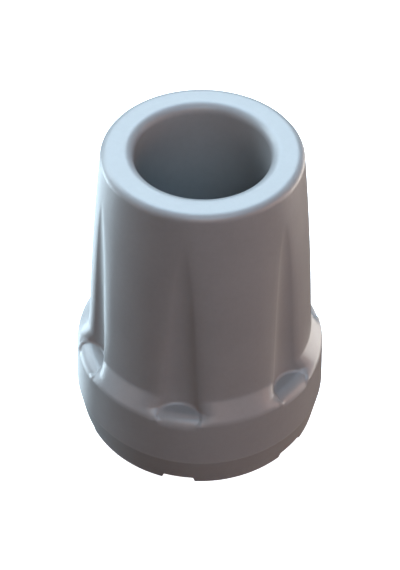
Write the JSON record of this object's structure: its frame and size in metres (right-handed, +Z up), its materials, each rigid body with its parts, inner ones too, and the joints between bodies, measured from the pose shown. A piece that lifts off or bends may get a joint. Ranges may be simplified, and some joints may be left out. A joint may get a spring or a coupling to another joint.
{
  "type": "rubber cane tip",
  "caption": "Moulded rubber foot for a cane or crutch: a tapered, fluted neck with a deep blind socket above a wide flanged base with a grooved sole.",
  "frame": {"origin": "centre of the sole, on the surface that the tip stands on", "axes": "+Z up along the socket and out of its mouth; -Y is the front"},
  "size_m": [0.045, 0.045, 0.0585],
  "materials": {
    "rubber": "satin moulded grey rubber"
  },
  "bodies": {
    "root": {"rubber_tip": "rubber"}
  },
  "joints": []
}
